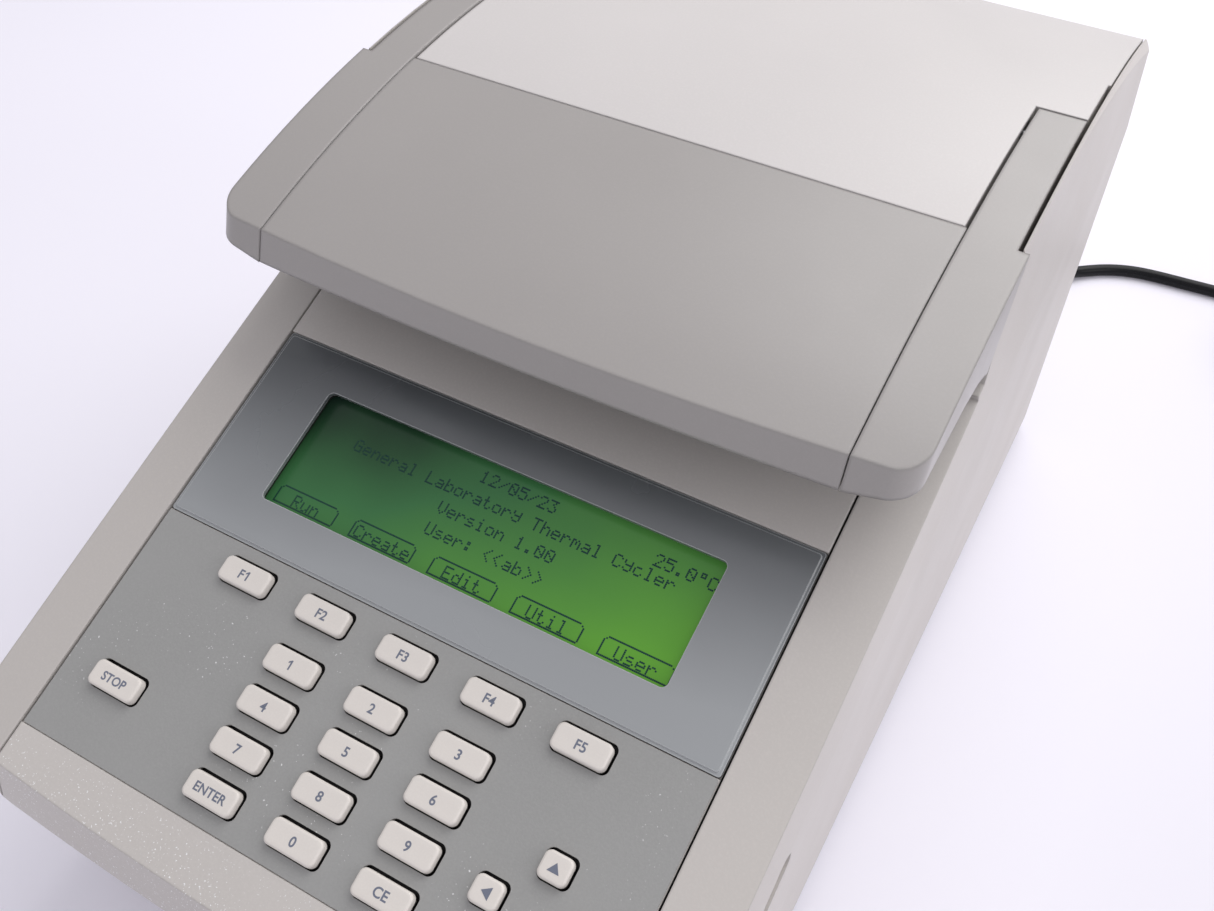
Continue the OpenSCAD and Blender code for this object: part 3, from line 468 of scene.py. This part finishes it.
DRESS = {
    "case": ["upper_case"],
    "panel": ["control_panel"],
    "cover": ["cover_shell"],
    "lever": ["lever_panel", "lever_arms"],
    "overlay": ["keypad_overlay"],
    "bezel": ["display_bezel"],
    "lcd": ["lcd_module"],
    "grille": ["side_grilles"],
    "deck": ["deck_plate", "cover_liner"],
    "black": ["fan_frame", "fan_rotor", "power_inlet", "power_switch", "cord_socket", "mains_plug"],
    "rubber": ["rubber_feet", "block_gasket"],
    "silicone": ["key_membrane"],
    "ceramic": ["peltier_modules"],
    "pad": ["heater_pad"],
    "block": ["sample_block", "platen"],
    "aluminium": ["heatsink"],
    "steel": ["base_pan", "power_supply", "hinge_brackets", "hinge_arms"],
    "painted": ["lever_frame"],
    "pin": ["hinge_pins", "case_screws", "lever_pins"],
    "shell": ["serial_port"],
    "board": ["keypad_board", "main_board"],
}


def dress_nodes():
    """Materials for the CAD nodes that stay visible."""
    for kind, names in DRESS.items():
        for name in names:
            mesh = NODES[name].data
            mesh.materials.clear()
            mesh.materials.append(M[kind])


dress_nodes()

# ---------------------------------------------------------------- mains cord

# Millimetres, in the shared frame.
CORD_D = 6.5
COIL = Vector((254.0, 315.5, 0.0))
LEAD = [
    (84, 255, 38), (84, 259, 38), (84, 266, 36.8), (85, 274, 34), (86, 282, 30), (88, 291, 25),
    (91, 300, 20), (94, 309, 15), (98, 318, 10.5), (103, 327, 7), (109, 335, 4.5), (116, 342, 3.5),
    (124, 348, 3.3), (133, 352.5, 3.3), (143, 355.5, 3.3), (154, 357, 3.3), (166, 358, 3.3),
    (178, 359, 3.3), (190, 360, 3.3), (204, 361, 3.3), (217, 361, 3.3), (229, 361, 3.3),
    (242, 361, 3.3),
]
COIL_R = [45.5, 39.0, 32.5, 32.5, 39.0, 45.5, 45.5]
COIL_Z = [3.3, 3.3, 3.3, 9.8, 9.8, 9.8, 9.8]
COIL_TURNS = 6.25
COIL_STEPS = 72
CROSS_FROM = 0.86
CROSS_SINK = 2.6
TAIL_END = (299.5, 264.0, 12.5)
TAIL_STEPS = 12
TAIL_SAG = 1.2
LEAD_STEPS = 4
CORD_ROUND = 5


def clamp(s):
    return max(0.0, min(1.0, s))


def ease(s):
    """A soft step from 0 to 1."""
    s = clamp(s)
    return s * s * (3 - 2 * s)


def coil_point(turn):
    """A point on the coil after so many turns, from the side where the lead comes in."""
    ring = int(turn)
    s = (turn - ring - CROSS_FROM) / (1 - CROSS_FROM)
    blend = ease(s)
    after = min(ring + 1, len(COIL_R) - 1)
    r0, r1 = COIL_R[ring], COIL_R[after]
    z0, z1 = COIL_Z[ring], COIL_Z[after]
    r = r0 + (r1 - r0) * blend
    if z1 > z0:
        r -= CROSS_SINK * math.sin(math.pi * clamp(s))
    a = math.radians(90 - 360 * turn)
    return Vector((COIL.x + r * math.cos(a), COIL.y + r * math.sin(a), z0 + (z1 - z0) * blend))


def through(points, steps):
    """A smooth curve through the points, as many short lines."""
    pts = [Vector(p) for p in points]
    pts = [2 * pts[0] - pts[1]] + pts + [2 * pts[-1] - pts[-2]]
    out = []
    for i in range(1, len(pts) - 2):
        a, b, c, d = pts[i - 1 : i + 3]
        for k in range(steps):
            s = k / steps
            slope = (c - a) * s
            bend = (2 * a - 5 * b + 4 * c - d) * s * s
            twist = (3 * b - a - 3 * c + d) * s**3
            out.append(0.5 * (2 * b + slope + bend + twist))
    return out + [pts[-2]]


def tail_points(last):
    """From the end of the coil to the plug, with a slight sag."""
    end = Vector(TAIL_END)
    out = []
    for k in range(1, TAIL_STEPS + 1):
        s = k / TAIL_STEPS
        p = last.lerp(end, s)
        p.z = last.z + (end.z - last.z) * ease(s) - TAIL_SAG * math.sin(math.pi * s)
        out.append(p)
    return out


def make_cord():
    steps = int(COIL_TURNS * COIL_STEPS)
    turns = [coil_point(i / COIL_STEPS) for i in range(1, steps + 1)]
    points = through(LEAD, LEAD_STEPS) + turns + tail_points(turns[-1])
    line = [p * MM for p in points]
    curve = bpy.data.curves.new("mains_cord", "CURVE")
    curve.dimensions = "3D"
    curve.bevel_depth = CORD_D / 2 * MM
    curve.bevel_resolution = CORD_ROUND
    curve.use_fill_caps = True
    spline = curve.splines.new("POLY")
    spline.points.add(len(line) - 1)
    for point, p in zip(spline.points, line):
        point.co = (*p, 1.0)
    spline.use_smooth = True
    cord = bpy.data.objects.new("mains_cord", curve)
    SCENE.collection.objects.link(cord)
    curve.materials.append(M["cord"])
    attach(cord, "case")
    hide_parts("cord_lead", "cord_coil")


make_cord()

# ---------------------------------------------------------------- keys

KEY_W, KEY_D = 17.4, 8.1
ARROW_W, ARROW_D = 8.8, 8.0
COL_STEP = 29.8
COLS = [0.25 + n * COL_STEP for n in (-2, -1, 0, 1, 2)]
ROW_F, ROW_1, ROW_STEP = 67.85, 50.65, 13.68
STOP_X, PAD_X, PAD_V = -77.0, 69.0, 22.95
NUMBER_ROWS = (("1", "2", "3"), ("4", "5", "6"), ("7", "8", "9"), ("ENTER", "0", "CE"))
# Name, way across and way up of each arrow key, and the turn of its arrow in degrees.
ARROWS = (("up", 0, 1, 0), ("down", 0, -1, 180), ("left", -1, 0, 90), ("right", 1, 0, 270))
ARROW_TURNS = {name: turn for name, _, _, turn in ARROWS}


def key_list():
    """Name, place, size and legend of every key."""
    keys = []
    for i, x in enumerate(COLS, 1):
        keys.append((f"key_f{i}", x, ROW_F, KEY_W, KEY_D, f"F{i}"))
    for row, names in enumerate(NUMBER_ROWS):
        for column, text in enumerate(names):
            v = ROW_1 - row * ROW_STEP
            keys.append((f"key_{text.lower()}", COLS[column + 1], v, KEY_W, KEY_D, text))
    keys.append(("key_stop", STOP_X, PAD_V, KEY_W, KEY_D, "STOP"))
    for name, dx, dv, _ in ARROWS:
        x, v = PAD_X + dx * ROW_STEP, PAD_V + dv * ROW_STEP
        keys.append((f"key_{name}", x, v, ARROW_W, ARROW_D, name))
    return keys


CORNER_POINTS = 7
QUADRANTS = ((1, 1, 0), (-1, 1, 90), (-1, -1, 180), (1, -1, 270))
KEY_TOP = 2.5
CAP_ROUND = 0.85
CAP_CORNER, CAP_CORNER_MIN, CORNER_LOSS = 2.0, 0.35, 0.75
RIM_STEP = 15
# The flange under the panel, then the cap's side, as (inset, height).
FLANGE = [(-1.2, -4.3), (-1.2, -3.3), (0.0, -3.3), (0.0, -0.5)]
DISH = [(1.8, KEY_TOP - 0.02), (2.9, KEY_TOP - 0.05)]
# Rings of the profile whose faces take the painted shade.
SKIRT_RINGS = 3
CAP_SHARP = 40


def rounded_ring(w, d, r):
    """Outline of a rounded rectangle, in millimetres."""
    out = []
    for sx, sy, start in QUADRANTS:
        cx, cy = sx * (w / 2 - r), sy * (d / 2 - r)
        for k in range(CORNER_POINTS):
            a = math.radians(start + 90 * k / (CORNER_POINTS - 1))
            out.append((cx + r * math.cos(a), cy + r * math.sin(a)))
    return out


def cap_mesh(name, x, v, w, d):
    """A key cap with a rounded rim, a faintly dished top, and the flange under the panel."""
    profile = list(FLANGE)
    for a in range(0, 91, RIM_STEP):
        s = math.radians(a)
        profile.append((CAP_ROUND * (1 - math.cos(s)), KEY_TOP - CAP_ROUND * (1 - math.sin(s))))
    profile += DISH
    verts, faces = [], []
    for inset, h in profile:
        r = max(CAP_CORNER_MIN, CAP_CORNER - inset * CORNER_LOSS)
        ring = rounded_ring(w - 2 * inset, d - 2 * inset, r)
        verts += [on_panel(x + px, v + py, h) for px, py in ring]
    n = CORNER_POINTS * len(QUADRANTS)
    for i in range(len(profile) - 1):
        for k in range(n):
            a, b = i * n + k, i * n + (k + 1) % n
            faces.append((a, b, b + n, a + n))
    # Faces below the panel's face take the second material, painted shade.
    painted_shade_faces = SKIRT_RINGS * n
    top = (len(profile) - 1) * n
    faces.append([top + k for k in range(n)])
    faces.append(list(range(n - 1, -1, -1)))
    mesh = new_mesh(name, verts, faces)
    for polygon in mesh.polygons:
        polygon.material_index = 1 if polygon.index < painted_shade_faces else 0
    smooth(mesh, CAP_SHARP)
    return mesh


def panel_matrix(x, v, h):
    """Where a flat drawing lies on the control panel."""
    turn = Matrix((Vector((1, 0, 0)), PANEL_V, PANEL_N)).transposed()
    return Matrix.Translation(on_panel(x, v, h)) @ turn.to_4x4()


# Capital height of Blender's own font, as a part of its size.
CAPITAL = 0.73
INK_SPREAD, INK_HALF = 0.08 * MM, 0.01 * MM
INK_DEPTH = 0.02
INK_SINK = 0.02
# Legend height and width factor, for long words and for short ones.
LONG_LEGEND, SHORT_LEGEND = (2.8, 0.98), (3.0, 0.97)
ONE_HEIGHT = 3.0
ONE = [
    (0.0, 0.0), (0.52, 0.0), (0.52, ONE_HEIGHT), (0.12, ONE_HEIGHT),
    (-0.72, 2.35), (-0.72, 1.85), (0.0, 2.3),
]
F_SHIFT, F_FIGURE_SHIFT = -0.95, 1.1
ARROW = [(-1.85, -1.4), (1.85, -1.4), (0, 1.4)]


def text_mesh(name, text, size, x, v, h):
    """Letters as a thin solid, from Blender's own font."""
    height, narrow = size
    curve = bpy.data.curves.new(name, "FONT")
    curve.body = text
    curve.align_x = "CENTER"
    curve.size = height * MM / CAPITAL
    curve.resolution_u = 4
    curve.offset = INK_SPREAD
    curve.extrude = INK_HALF
    holder = bpy.data.objects.new(name + "_text", curve)
    SCENE.collection.objects.link(holder)
    bpy.context.view_layer.update()
    drawn = holder.evaluated_get(bpy.context.evaluated_depsgraph_get())
    mesh = bpy.data.meshes.new_from_object(drawn)
    bpy.data.objects.remove(holder)
    place = panel_matrix(x, v - height / 2, h) @ Matrix.Diagonal((narrow, 1, 1, 1))
    mesh.transform(place)
    mesh.materials.clear()
    return mesh


def one_mesh(name, x, v, h):
    """The figure 1 with its flag."""
    ring = [(x + px, v - ONE_HEIGHT / 2 + py) for px, py in ONE]
    return prism(name, ring, (h, h + INK_DEPTH))


def arrow_mesh(name, way, x, v, h):
    """A triangle that points the key's way."""
    a = math.radians(ARROW_TURNS[way])
    ring = []
    for px, py in ARROW:
        across = px * math.cos(a) - py * math.sin(a)
        up = px * math.sin(a) + py * math.cos(a)
        ring.append((x + across, v + up))
    return prism(name, ring, (h, h + INK_DEPTH))


def make_keys():
    for name, x, v, w, d, text in key_list():
        body = name + "_body"
        mesh = cap_mesh(name + "_cap", x, v, w, d)
        cap = new_object(name + "_cap", mesh, body, M["key"])
        # Second material: painted shade on the flange and the side below the panel.
        cap.data.materials.append(M["skirt_painted_shade"])
        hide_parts(name)
        top = KEY_TOP - INK_SINK
        legend = name + "_legend"
        if text in ARROW_TURNS:
            mesh = arrow_mesh(legend, text, x, v, top)
        elif text == "1":
            mesh = one_mesh(legend, x, v, top)
        elif text == "F1":
            mesh = text_mesh(legend, "F", SHORT_LEGEND, x + F_SHIFT, v, top)
            figure = one_mesh(name + "_figure", x + F_FIGURE_SHIFT, v, top)
            new_object(name + "_figure", figure, body, M["legend"])
        else:
            size = LONG_LEGEND if len(text) > 3 else SHORT_LEGEND
            mesh = text_mesh(legend, text, size, x, v, top)
        new_object(legend, mesh, body, M["legend"])


make_keys()

# ---------------------------------------------------------------- display

GLASS_H = -4.1
DOT = 0.59
DOT_TALL = 1.04
DOT_HALF = DOT * 0.46
DOT_FROM, DOT_TO = 0.01, 0.03
LETTER_ROWS, LETTER_COLS, LETTER_STEP = 7, 5, 6
# Rows of each letter from the top, two hexadecimal digits a row.
FONT = {
    "0": "0e11191513110e", "1": "040c040404040e", "2": "0e11010204081f", "3": "1f02040201110e",
    "4": "02060a121f0202", "5": "1f101e0101110e", "6": "0608101e11110e", "7": "1f010204080808",
    "8": "0e11110e11110e", "9": "0e11110f01020c", ".": "00000000000c0c", "/": "00010204081000",
    ":": "000c0c000c0c00", "<": "02040810080402", ">": "08040201020408", "C": "0e11101010110e",
    "E": "1f10101e10101f", "G": "0e11101711110f", "L": "1010101010101f", "R": "1e11111e141211",
    "T": "1f040404040404", "U": "1111111111110e", "V": "11111111110a04", "a": "00000e010f110f",
    "b": "1010161911111e", "c": "00000e1010110e", "d": "01010d1311110f", "e": "00000e111f100e",
    "g": "000f11110f010e", "h": "10101619111111", "i": "04000c0404040e", "l": "0c04040404040e",
    "m": "00001a15151111", "n": "00001619111111", "o": "00000e1111110e", "r": "00001619101010",
    "s": "00000e100e011e", "t": "08081c08080906", "u": "0000111111130d", "y": "0011110f01110e",
    "*": "0e0a0e00000000", " ": "00000000000000",
}
# Middle of each line on the panel, in millimetres, and its words; * is the degree sign.
LINES = [
    (2.7, 129.2, "12/05/23"),
    (61.9, 127.0, "25.0*C"),
    (2.7, 121.9, "General Laboratory Thermal Cycler"),
    (2.7, 114.5, "Version 1.00"),
    (2.7, 106.8, "User: <<ab>>"),
]
TABS = ["Run", "Create", "Edit", "Util", "User"]
TAB_COLS = [1.25 + n * COL_STEP for n in (-2, -1, 0, 1, 2)]
TAB_TOP, TAB_LOW, TAB_HALF, TAB_TEXT = 100.0, 93.6, 11.4, 96.6
WINDOW = (-71.2, 72.8)


def dots_of(text, x, v):
    """Centres of the lit dots of one line, from its middle."""
    left = x - (len(text) * LETTER_STEP - 1) * DOT / 2
    middle = LETTER_ROWS // 2
    for i, letter in enumerate(text):
        for r in range(LETTER_ROWS):
            bits = int(FONT[letter][2 * r : 2 * r + 2], 16)
            for c in range(LETTER_COLS):
                if bits >> (LETTER_COLS - 1 - c) & 1:
                    across = left + (i * LETTER_STEP + c + 0.5) * DOT
                    yield across, v + (middle - r) * DOT * DOT_TALL


def tab_dots(x):
    """A dotted frame with notched upper corners."""
    n = int(2 * TAB_HALF / DOT)
    m = int((TAB_TOP - TAB_LOW) / DOT)
    for i in range(n + 1):
        if 1 < i < n - 1:
            yield x - TAB_HALF + i * DOT, TAB_TOP
        yield x - TAB_HALF + i * DOT, TAB_TOP - m * DOT
    for side in (-1, 1):
        yield x + side * (TAB_HALF - DOT), TAB_TOP - DOT
        for k in range(2, m):
            yield x + side * TAB_HALF, TAB_TOP - k * DOT


def make_display():
    spots = set()
    for x, v, text in LINES:
        spots.update(dots_of(text, x, v))
    for column, text in zip(TAB_COLS, TABS):
        spots.update(dots_of(text, column, TAB_TEXT))
        spots.update(tab_dots(column))
    verts, faces = [], []
    square = [(sx * DOT_HALF, sy * DOT_HALF) for sx, sy in ((-1, -1), (1, -1), (1, 1), (-1, 1))]
    for x, v in sorted(spots):
        if not WINDOW[0] < x < WINDOW[1]:
            continue
        faces += prism_faces(len(square), len(verts))
        for dh in (DOT_FROM, DOT_TO):
            verts += [on_panel(x + a, v + b, GLASS_H + dh) for a, b in square]
    mesh = new_mesh("display_dots", verts, faces)
    new_object("display_dots", mesh, "case", M["ink"])


make_display()

# ---------------------------------------------------------------- studio


FLOOR_HALF = 6.0
FLOOR_GLOW = 0.10
# Painted shade on the floor: where it starts and ends along X, and how dark it gets.
FLOOR_FADE = (0.02, 0.36)
FLOOR_SHADE = 0.76
SKY_WAY = Vector((0.8, -0.1, 0.6))
SKY_RANGE = (-0.6, 0.9, 0.43, 0.78)
SKY_COLOUR = (0.95, 0.94, 0.99, 1)


def make_floor():
    s = FLOOR_HALF
    mesh = new_mesh("floor", [(-s, -s, 0), (s, -s, 0), (s, s, 0), (-s, s, 0)], [(0, 1, 2, 3)])
    t = Tree("floor_white")
    colour = lin(238, 236, 244)
    base = t.mix(t.ramp(t.noise(3, 3), 0.3, 0.7), shade(colour, 0.985), colour)
    # Painted shade: the floor darker towards +X.
    base = t.mix(t.ramp(t.axis("X"), *FLOOR_FADE), base, shade(colour, FLOOR_SHADE))
    t.colour(base)
    t.rough(0.55)
    t.specular(0.2)
    t.bsdf.inputs["Emission Color"].default_value = lin(236, 232, 250)
    t.bsdf.inputs["Emission Strength"].default_value = FLOOR_GLOW
    mesh.materials.append(t.mat)
    floor = bpy.data.objects.new("floor", mesh)
    SCENE.collection.objects.link(floor)


def area_light(name, place, target, size, energy, colour):
    """A soft box that faces its target."""
    data = bpy.data.lights.new(name, "AREA")
    data.shape = "RECTANGLE"
    data.size, data.size_y = size
    data.energy = energy
    data.color = colour
    light = bpy.data.objects.new(name, data)
    light.location = place
    light.rotation_mode = "QUATERNION"
    aim = Vector(target) - Vector(place)
    light.rotation_quaternion = aim.to_track_quat("-Z", "Y")
    SCENE.collection.objects.link(light)


def make_world():
    """A plain bright surround, brighter towards one side."""
    world = bpy.data.worlds.new("studio")
    world.use_nodes = True
    nodes, links = world.node_tree.nodes, world.node_tree.links
    nodes.clear()
    out = nodes.new("ShaderNodeOutputWorld")
    sky = nodes.new("ShaderNodeBackground")
    coords = nodes.new("ShaderNodeTexCoord")
    dot = nodes.new("ShaderNodeVectorMath")
    dot.operation = "DOT_PRODUCT"
    dot.inputs[1].default_value = SKY_WAY.normalized()
    links.new(coords.outputs["Generated"], dot.inputs[0])
    spread = nodes.new("ShaderNodeMapRange")
    for key, value in zip(("From Min", "From Max", "To Min", "To Max"), SKY_RANGE):
        spread.inputs[key].default_value = value
    links.new(dot.outputs["Value"], spread.inputs["Value"])
    sky.inputs["Color"].default_value = SKY_COLOUR
    links.new(spread.outputs[0], sky.inputs["Strength"])
    links.new(sky.outputs[0], out.inputs[0])
    SCENE.world = world


make_floor()
make_world()
area_light("softbox", (0.34, 0.95, 1.35), (0.05, 0.05, 0.1), (1.3, 1.7), 17.5, (1.0, 0.99, 0.98))
area_light("window", (0.95, 0.05, 0.55), (0.0, 0.0, 0.2), (0.5, 0.5), 1.3, (1.0, 0.99, 0.99))
SCENE.view_settings.view_transform = "Standard"
